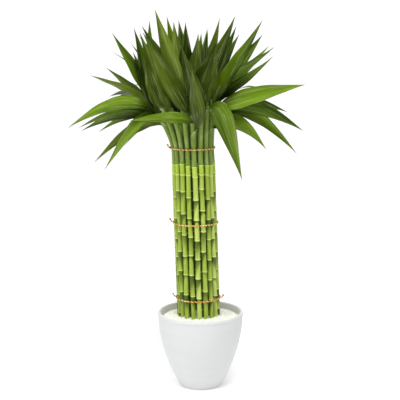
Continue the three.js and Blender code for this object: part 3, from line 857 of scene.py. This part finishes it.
def stone_form():
    """The corners and faces of a regular 20-sided stone."""
    golden = (1 + 5**0.5) / 2
    corners = [(0, a, b * golden) for a in (-1, 1) for b in (-1, 1)]
    corners = np.array([corner[turn:] + corner[:turn] for turn in range(3) for corner in corners], float)
    stone = bmesh.new()
    for corner in corners:
        stone.verts.new(corner)
    bmesh.ops.convex_hull(stone, input=stone.verts)
    faces = [[vertex.index for vertex in face.verts] for face in stone.faces]
    stone.free()
    return unit(corners), faces


def grain_places(draw):
    """A shaken grid of places over the gravel, clear of the canes."""
    apart, reach = GRAIN["apart"], pot_radius(GRAVEL["edge"]) - POT["wall"] - GRAIN["from_edge"]
    rows, line = np.arange(-reach, reach, apart * GRAIN["row_share"]), np.arange(-reach, reach, apart)
    places = np.array([(x + order % 2 * apart / 2, y) for order, y in enumerate(rows) for x in line])
    places += draw.uniform(-GRAIN["shake"], GRAIN["shake"], places.shape)
    places = places[np.hypot(*places.T) < reach]
    joints, feet = (np.array([shoot.joints[order] for shoot in shoots]) for order in (-2, -1))
    stems = (feet + (joints - feet) * GRAIN["stem_share"])[:, :2]
    return places[np.linalg.norm(places[:, None] - stems, axis=2).min(axis=1) > GRAIN["from_stem"]]


def make_grains(finish):
    """Small, uneven stones, each stretched, turned and sunk a little in its own way."""
    corners, faces = stone_form()
    draw = np.random.default_rng(GRAIN_SEED)
    places = grain_places(draw)
    sizes = draw.uniform(*GRAIN["size"], len(places))
    grains = Shape()
    for (x, y), size in zip(places, sizes):
        form = corners * draw.uniform(*GRAIN["uneven"], (len(corners), 1)) * draw.uniform(*GRAIN["oval"], 3)
        turn = draw.uniform(0, 2 * math.pi)
        cos, sin = math.cos(turn), math.sin(turn)
        spin = np.array([[cos, -sin, 0], [sin, cos, 0], [0, 0, 1]])
        centre = np.array([x, y, gravel_height(x, y) - GRAIN["sink"] + draw.uniform(*GRAIN["lift"])])
        grains.add(centre + form @ spin * size, faces, tone=draw.uniform(0, 1))
    grains.piece("gravel_grains", finish, "gravel", "gravel", smooth=False)


# Canes: the stem swells at each joint and steps in below it. Heights are from a joint, or down from the top
JOINT_PROFILE = (
    (-14, 0.965), (-6, 0.945), (-1.7, 0.92), (-0.9, 0.93), (-0.4, 0.99), (0, 1.08),
    (0.35, 1.115), (0.9, 1.11), (1.8, 1.07), (3.6, 1.025), (8, 0.98), (14, 0.965),
)
HEAD_PROFILE = ((0, 0.93), (0.4, 1.02), (1.2, 1.03), (3, 0.99))
NEAR_JOINT = (-11, -7.5, -5, -3.2, -2, -1.4, -0.9, -0.45, -0.1, 0.2, 0.5, 0.9, 1.4, 2.2, 3.4, 5.2, 8, 11.5)
NEAR_HEAD = (2.6, 1.5, 0.8, 0.3, 0)
STEM = dict(outer_sides=20, inner_sides=12, from_foot=2, from_head=3, gap=6, step=5)
OVAL = dict(wide=0.012, lumpy=0.006, turn=(0, 6))
# Painted shade below each joint, part the cane's own colour; inner is the painted shade of the inner canes.
WEDGE = dict(first=0.1, others=(0.5, 1.2), reach=25, slant=18, fade=0.75, inner=0.8, under_joint=0.2)
JOINT_RING = dict(middle=0.7, width=1.1, height=0.85)
HEAD_RING = dict(middle=0.9, width=0.9, height=0.9)
LIME_HEAD = (10, 26)


def cane_heights(shoot):
    """The heights of a cane's rings, close together near its joints and its head."""
    low, high = shoot.joints[-1][2], shoot.joints[0][2]
    near = [z + step for z in shoot.nodes for step in NEAR_JOINT]
    heights = [low, *(z for z in near if low + STEM["from_foot"] < z < high - STEM["from_head"])]
    heights = sorted([*heights, *(high - step for step in NEAR_HEAD)])
    for below, above in zip(heights[:], heights[1:]):
        if above - below > STEM["gap"]:
            heights += list(np.linspace(below, above, int((above - below) // STEM["step"]) + 2)[1:-1])
    return np.array(sorted(heights))


def wedge_shade(shoot, heights, turns, draw):
    """How dark each point is, as painted shade: a slanting wedge falls from every joint, part the cane's own
    colour and part shade, and the inner canes stand in shade.
    """
    nodes = shoot.nodes
    slant = np.array([draw.uniform(*ANY_TURN) + order * math.pi for order in range(len(nodes))])
    strength = np.array([WEDGE["first"]] + [draw.uniform(*WEDGE["others"]) for _ in nodes[1:]])
    above = (nodes > heights[:, None] + WEDGE["under_joint"]).sum(axis=1) - 1
    fall = (nodes[above] - heights)[:, None]
    reach = WEDGE["reach"] + WEDGE["slant"] * np.cos(turns - slant[above][:, None])
    dark = strength[above][:, None] * np.clip(1 - fall / reach, 0, 1) ** WEDGE["fade"]
    dark = np.where(above[:, None] < 0, 0, dark)
    return np.maximum(dark, 0 if shoot.outer else WEDGE["inner"])


def make_cane(shoot, finish):
    draw = random.Random(shoot.index)
    heights = cane_heights(shoot)
    sides = STEM["outer_sides"] if shoot.outer else STEM["inner_sides"]
    turns = round_turns(sides)
    away = heights[:, None] - shoot.nodes
    away = away[np.arange(len(heights)), np.abs(away).argmin(axis=1)]
    head = shoot.joints[0][2] - heights
    swell = np.where(head < HEAD_PROFILE[-1][0], np.interp(head, *zip(*HEAD_PROFILE)),
                     np.interp(away, *zip(*JOINT_PROFILE)))
    oval = 1 + OVAL["wide"] * np.sin(2 * turns + draw.uniform(*OVAL["turn"]))
    oval = oval + OVAL["lumpy"] * np.sin(5 * turns + draw.uniform(*OVAL["turn"]))
    radii = shoot.thickness * swell[:, None] * oval
    upright = np.tile(UP, (len(heights), 1))
    points = tube_points(centres_at(shoot.joints, heights), upright, shoot.out, radii, turns)
    dark = wedge_shade(shoot, heights, turns, draw)
    ring = np.maximum(peak(away, **JOINT_RING), peak(head, **HEAD_RING))
    lime = 1 - smooth_step(head, *LIME_HEAD)
    stem = Shape()
    stem.add(points, capped(points), dark=dark, ring=ring[:, None], head=lime[:, None], tone=draw.random())
    stem.piece(f"stem_{shoot.number}", finish, "cane", f"cane_{shoot.number}")


# Necks: a core with one wrapped sheath for each leaf. Places along them are shares of the neck's length
NECK_SIDES = 20
NECK_TURNS = round_turns(NECK_SIDES)
AROUND = np.sin(NECK_TURNS) + NECK_TURNS * 0.5
NECK_RINGS = np.array([0, *np.linspace(0.004, 0.99, 44), 0.997, 1])[:, None]
NECK_PROUD = ((0, -0.6), (0.012, 0.25), (0.05, 0), (0.985, 0), (0.995, -0.6), (1, -1.6))
SHADE = dict(among_leaves=0.5, inner=0.7, sheath=0.25)
SHEATH = dict(length=0.34, slope=0.075, step=0.1, past_leaf=0.035, lowest=0.02)

# From a sheath's foot to its tucked-in edge: share of its length, how proud it stands, how pale it is
SHEATH_PROFILE = (
    (0, -0.15, 0), (0.15, 0.04, 0), (0.32, 0.08, 0), (0.5, 0.12, 0), (0.66, 0.16, 0),
    (0.8, 0.22, 0), (0.9, 0.3, 0.1), (0.96, 0.4, 0.5), (1, 0.45, 0.9), (1, -0.3, 0.6),
)


def neck_radius(shoot, t):
    radius = shoot.thickness * NECK["share"]
    return radius * (1 - (1 - NECK["end"]) * np.clip((t - NECK_SHARES[-2]) / (1 - NECK_SHARES[-2]), 0, 1))


def neck_points(shoot, t, proud):
    """Points round the neck, for rows of places along it and how proud the points stand."""
    t = np.broadcast_to(np.clip(t, 0, 1), (len(t), NECK_SIDES))
    flat = t.ravel()
    turns = np.tile(NECK_TURNS, len(t))[:, None]
    radii = (neck_radius(shoot, t) + proud).reshape(-1, 1)
    points = tube_points(shoot.curve.at(flat), shoot.curve.tangent(flat), shoot.out, radii, turns)
    return points.reshape(*t.shape, 3)


def make_neck(shoot, finish):
    draw = random.Random(NECK_SEED + shoot.index)
    points = neck_points(shoot, NECK_RINGS, np.interp(NECK_RINGS, *zip(*NECK_PROUD)))
    shade = smooth_step(NECK_RINGS, 0.5, 1) * SHADE["among_leaves"]
    shade = np.maximum(shade, 0 if shoot.outer else SHADE["inner"])
    neck = Shape()
    neck.add(points, capped(points), rise=NECK_RINGS, around=AROUND, edge=0, tone=draw.random(), shade=shade)
    leaves = sorted(shoot.leaves, key=lambda leaf: leaf.site.share)
    for order, leaf in enumerate(leaves):
        if leaf.site.facing is not None:
            add_sheath(neck, shoot, leaf, len(leaves) - order, draw)
    neck.piece(f"neck_{shoot.number}", finish, "leaf", f"shoot_{shoot.number}")


def add_sheath(neck, shoot, leaf, above, draw):
    """A sleeve that ends highest under its leaf and slopes down to the far side."""
    facing, out = leaf.site.facing, shoot.out
    heading = math.atan2(facing @ np.cross(UP, out), facing @ out)
    top = leaf.site.share + SHEATH["past_leaf"] - SHEATH["slope"] * (1 - np.cos(NECK_TURNS - heading))
    low = max(leaf.site.share - SHEATH["length"], SHEATH["lowest"])
    shares, proud, edge = np.array(SHEATH_PROFILE).T[:, :, None]
    t = low + (top - low) * shares
    lift = SHEATH["step"] * above * np.minimum(shares * 3, 1)
    lift[-1] = 0
    points = neck_points(shoot, t, proud + lift)
    shade = smooth_step(shares, 1, 0.5) * SHADE["sheath"]
    neck.add(points, net(points), rise=t, around=AROUND, edge=edge, tone=draw.random(), shade=shade)


# Leaves: a thin blade on the same midrib as the solid's, rolled round the neck at its foot
LEAF_ROWS = 46
ROWS_TO_FOOT = 1.2
LAST_ROW = 0.993
LEAF_SIDES = (0.08, 0.19, 0.34, 0.5, 0.66, 0.82, 0.93, 1)
COLUMNS = np.array([*(-side for side in reversed(LEAF_SIDES)), 0, *LEAF_SIDES])
LEAF = dict(thickness=0.5, thin_edge=0.75, thin_tip=0.6, wrap=0.13, wrap_turn=78, proud=0.55, crease=0.03,
            rib=0.05, root=0.1, dry_from=0.985, dry=0.7)
RIPPLE = dict(height=0.9, waves=(2.5, 4.5), lag=0.9)
# Paleness of a leaf is painted light and shade with a random spread: upright leaves darker, one half of the
# blade lighter than the other, and the foot darker where the crown shades it.
PALENESS = dict(level=0.42, upright=0.35, spread=0.4, half=0.13, foot=0.16, climb=0.25, climb_to=0.6)


def blade_net(leaf, t, frames, draw):
    """The points halfway through the blade, dished along its midrib and rippled at its edges."""
    centre, side, face = frames
    share = blade_share(t)[:, None]
    half = leaf.width / 2 * share
    dish = BLADE["channel"] * half * (np.sqrt(COLUMNS**2 + LEAF["crease"]) - LEAF["crease"] ** 0.5)
    phase, waves = draw.uniform(*ANY_TURN), draw.uniform(*RIPPLE["waves"])
    swing = np.sin(t[:, None] * waves * 2 * math.pi + phase + np.sign(COLUMNS) * RIPPLE["lag"])
    lift = dish + swing * COLUMNS**2 * RIPPLE["height"] * share
    return centre[:, None] + side[:, None] * (half * COLUMNS)[..., None] + face[:, None] * lift[..., None]


def rolled_net(leaf, frames, outward):
    """The same points as they would lie if the whole leaf were rolled round its neck."""
    curve, share = leaf.shoot.curve, leaf.site.share
    centre, side, _ = frames
    along = curve.tangent(share)
    lateral = np.cross(along, outward)
    lateral = lateral * (1 if lateral @ side[0] > 0 else -1)
    root = curve.at(share) + along * ((leaf.site.base - curve.at(share)) @ along)
    climb = (centre - centre[0])[:, None]
    turn = (COLUMNS * math.radians(LEAF["wrap_turn"]))[:, None]
    radius = neck_radius(leaf.shoot, share) + LEAF["proud"]
    return root + climb + radius * (np.cos(turn) * outward + np.sin(turn) * lateral)


def leaf_tone(leaf, draw):
    """Low leaves that lie open to the light are paler than the ones that stand up inside."""
    if leaf.tone is not None:
        return leaf.tone
    rise = leaf.midrib.points[3][2] - leaf.midrib.points[0][2]
    tone = PALENESS["level"] - PALENESS["upright"] * rise / leaf.reach
    return min(max(tone + draw.uniform(-PALENESS["spread"], PALENESS["spread"]), 0), 1)


def add_leaf(shape, leaf, draw):
    t = np.linspace(0, 1, LEAF_ROWS) ** ROWS_TO_FOOT * LAST_ROW
    frames = blade_frames(leaf, t)
    face = frames[2]
    neck_along = leaf.shoot.curve.tangent(leaf.site.share)
    outward = -face[0] if leaf.site.facing is None else leaf.site.facing
    outward = unit(outward - neck_along * (outward @ neck_along))
    wrap = (1 - smooth_step(t, 0, LEAF["wrap"]))[:, None, None]
    middle = blade_net(leaf, t, frames, draw)
    middle = middle + (rolled_net(leaf, frames, outward) - middle) * wrap
    skyward = face[:, None] + (-outward - face[:, None]) * wrap
    thick = LEAF["thickness"] / 2 * (1 - LEAF["thin_edge"] * COLUMNS**4) * (1 - LEAF["thin_tip"] * t[:, None])
    upper = middle + skyward * thick[..., None]
    lower = (middle - skyward * thick[..., None])[:, -2:0:-1]
    rows = np.concatenate([upper, lower], axis=1)
    width, back = rows.shape[1], COLUMNS[-2:0:-1]
    last, tip = (LEAF_ROWS - 1) * width, LEAF_ROWS * width
    faces = net(rows) + [[last + i, last + (i + 1) % width, tip] for i in range(width)]
    faces.append(list(range(width)))
    along = np.append(np.repeat(t, width), 1)
    across = np.append(np.tile([*COLUMNS, *back], LEAF_ROWS), 0)
    under = np.append(np.tile([0] * len(COLUMNS) + [1] * len(back), LEAF_ROWS), 0)
    # Painted light and shade: one half of the blade lighter than the other, and the blade darker at its foot.
    tone = leaf_tone(leaf, draw) + draw.choice((-1, 1)) * PALENESS["half"] * np.tanh(3 * across)
    tone = tone + PALENESS["climb"] * smooth_step(along, 0, PALENESS["climb_to"]) - PALENESS["foot"]
    dry = smooth_step(along, LEAF["dry_from"], 1) * LEAF["dry"]
    points = np.concatenate([rows.reshape(-1, 3), [leaf.midrib.at(1.0)]])
    shape.add(points, faces, along=along, across=across, under=under, tone=tone, seed=draw.random(), dry=dry,
              rib=peak(across, 0, LEAF["rib"]) * (1 - along), root=1 - smooth_step(along, 0, LEAF["root"]))


def make_leaves(shoot, finish):
    draw = random.Random(LEAF_SEED + shoot.index)
    leaves = Shape()
    for leaf in shoot.leaves:
        add_leaf(leaves, leaf, draw)
    leaves.piece(f"leaves_{shoot.number}", finish, "leaf", f"shoot_{shoot.number}")


# Ties: two strands of wire twisted round each other, drawn tight round the outer canes
STRAND = dict(radius=0.95, offset=0.8, pitch=9, step=0.5625, sides=6)
TAIL = dict(out=0.5, front=0.3, up=0.7, points=12, spread=0.9)


def tie_path(height):
    """Where the wire touches each outer cane or neck, and the same with the slack between them."""
    contacts = []
    for shoot in shoots[:OUTER["count"]]:
        above = height > shoot.joints[0][2]
        line = shoot.curve.at(np.array(NECK_SHARES)) if above else shoot.joints
        thick = shoot.thickness * (NECK["share"] if above else NODE["flare"])
        contacts.append(centres_at(line, height) + shoot.out * (thick + GAP + WIRE["radius"]))
    centre = np.array([lean_at(height), 0, height])
    path = []
    for point, after in zip(contacts, contacts[1:] + contacts[:1]):
        middle = (point + after) / 2
        path += [point, middle + unit(centre - middle) * WIRE["slack"]]
    return np.array(contacts), np.array(path)


def spaced(points, closed):
    """The same path in even, short steps. A closed one is rounded at its corners."""
    line = np.concatenate([points, points[:1]]) if closed else points
    lengths = np.append(0, np.cumsum(np.linalg.norm(np.diff(line, axis=0), axis=1)))
    even = np.linspace(0, lengths[-1], int(lengths[-1] / STRAND["step"]) + 1)
    fine = np.stack([np.interp(even, lengths, line[:, axis]) for axis in range(3)], axis=1)
    if not closed:
        return fine
    neighbours = [np.roll(fine[:-1], shift, axis=0) for shift in (3, -3, 1, -1, 0)]
    return sum(neighbours) / len(neighbours)


def strides(path, closed):
    """From the point before each point to the one after it."""
    if closed:
        return np.roll(path, -1, axis=0) - np.roll(path, 1, axis=0)
    return np.concatenate([path[1:], path[-1:]]) - np.concatenate([path[:1], path[:-1]])


def add_twist(shape, path, closed, spread=0):
    """Both strands along a path. Spread opens them out towards the path's end."""
    steps = len(path)
    along = unit(strides(path, closed))
    up = unit(UP - along * (along @ UP)[:, None])
    out = np.cross(along, up)
    turns = np.linalg.norm(strides(path, closed), axis=1).sum() / 2 / STRAND["pitch"]
    turns = round(turns) if closed else turns
    shares = np.arange(steps) / steps
    offset = (STRAND["offset"] + spread * smooth_step(shares, 0.5, 1))[:, None]
    spokes = round_turns(STRAND["sides"])
    for strand in range(2):
        phase = (shares * turns * 2 * math.pi + strand * math.pi)[:, None]
        lift = up * np.cos(phase) + out * np.sin(phase)
        centres = path + lift * offset
        points = tube_points(centres, unit(strides(centres, closed)), lift, STRAND["radius"], spokes)
        if closed:
            points = np.concatenate([points, points[:1]])
        faces = net(points) if closed else capped(points)
        # Inside is 1 on the side of each strand that faces the other, where painted shade darkens it.
        shape.add(points, faces, strand=strand, inside=0.5 - 0.5 * np.cos(spokes))


def make_tie(name, height, tails, finish):
    contacts, path = tie_path(height)
    tie = Shape()
    add_twist(tie, spaced(path, closed=True), closed=True)
    shares = np.linspace(0, 1, TAIL["points"])[:, None]
    reach = WIRE["tail"]
    for tail in tails:
        out = compass(tail)
        end = contacts[(contacts @ out).argmax()] + out * shares * reach * TAIL["out"]
        end = end + compass(0) * shares * reach * TAIL["front"] + UP * shares**2 * reach * TAIL["up"]
        add_twist(tie, spaced(end, closed=False), closed=False, spread=TAIL["spread"])
    tie.piece(f"twist_{name}", finish, "wire", f"tie_{name}")


make_pot()
gravel_look = gravel_finish()
make_gravel_bed(gravel_look)
make_grains(gravel_look)
cane_look, neck_look, leaf_look, wire_look = cane_finish(), neck_finish(), leaf_finish(), wire_finish()
for shoot in shoots:
    make_cane(shoot, cane_look)
    make_neck(shoot, neck_look)
    if shoot.leaves:
        make_leaves(shoot, leaf_look)
for name, height, tails in TIES:
    make_tie(name, height, tails, wire_look)


# Stage, in metres: a pale floor that curves up behind, and lights by name, place, width and power
FLOOR = dict(front=-6, back=2, bend=1.5, top=7, half_width=8, steps=16)
LIGHTS = (
    ("key", (-1.8, -1.6, 2.5), 1.2, 32),
    ("high", (0.15, -1.2, 3.1), 1.5, 66),
    ("top", (0, 0.8, 3.0), 2.4, 12),
)
AIM = (0, 0, 0.4)
SKY_STRENGTH = 0.46

# The photograph's viewpoint, with the lens and the turn aside in pixels of the photograph
VIEW = dict(away=2.36, height=0.826, look_down=9.6, lens=1073, aside=0.5, picture=400, sensor=36)


def make_stage():
    finish = Finish("pale backdrop", Base_Color=tint(238, 238, 238), Roughness=0.9, Specular_IOR_Level=0.1,
                    Emission_Color=(1, 1, 1, 1), Emission_Strength=0.24)
    back, bend = FLOOR["back"], FLOOR["bend"]
    turns = np.linspace(0, math.pi / 2, FLOOR["steps"])
    curve = [(back + bend * math.sin(turn), bend * (1 - math.cos(turn))) for turn in turns]
    profile = [(FLOOR["front"], 0), (back, 0), *curve, (back + bend, FLOOR["top"])]
    points = np.array([[(x, y, z) for x in (-FLOOR["half_width"], FLOOR["half_width"])] for y, z in profile])
    mesh = bpy.data.meshes.new("backdrop")
    mesh.from_pydata(points.reshape(-1, 3).tolist(), [], net(points, closed=False))
    mesh.shade_smooth()
    mesh.materials.append(finish.material)
    backdrop = placed("backdrop", mesh)


def make_light(name, place, size, power):
    lamp = bpy.data.lights.new(name, "AREA")
    lamp.shape = "DISK"
    lamp.size, lamp.energy = size, power
    light = placed(name, lamp)
    light.location = place
    light.rotation_euler = Vector(np.array(AIM) - place).to_track_quat("-Z", "Y").to_euler()


def make_sky():
    """An even white light from all round, and plain colours in the picture."""
    world = bpy.data.worlds.new("studio")
    world.use_nodes = True
    background = world.node_tree.nodes["Background"]
    background.inputs["Color"].default_value = (1, 1, 1, 1)
    background.inputs["Strength"].default_value = SKY_STRENGTH
    bpy.context.scene.world = world
    bpy.context.scene.view_settings.view_transform = "Standard"


def make_camera():
    lens = bpy.data.cameras.new("camera")
    lens.sensor_width = VIEW["sensor"]
    lens.lens = VIEW["sensor"] * VIEW["lens"] / VIEW["picture"]
    camera = placed("camera", lens)
    camera.location = (0, -VIEW["away"], VIEW["height"])
    aside = math.atan(VIEW["aside"] / VIEW["lens"])
    camera.rotation_euler = (math.pi / 2 - math.radians(VIEW["look_down"]), 0, aside)
    bpy.context.scene.camera = camera


make_stage()
for name, place, size, power in LIGHTS:
    make_light(name, place, size, power)
make_sky()
make_camera()
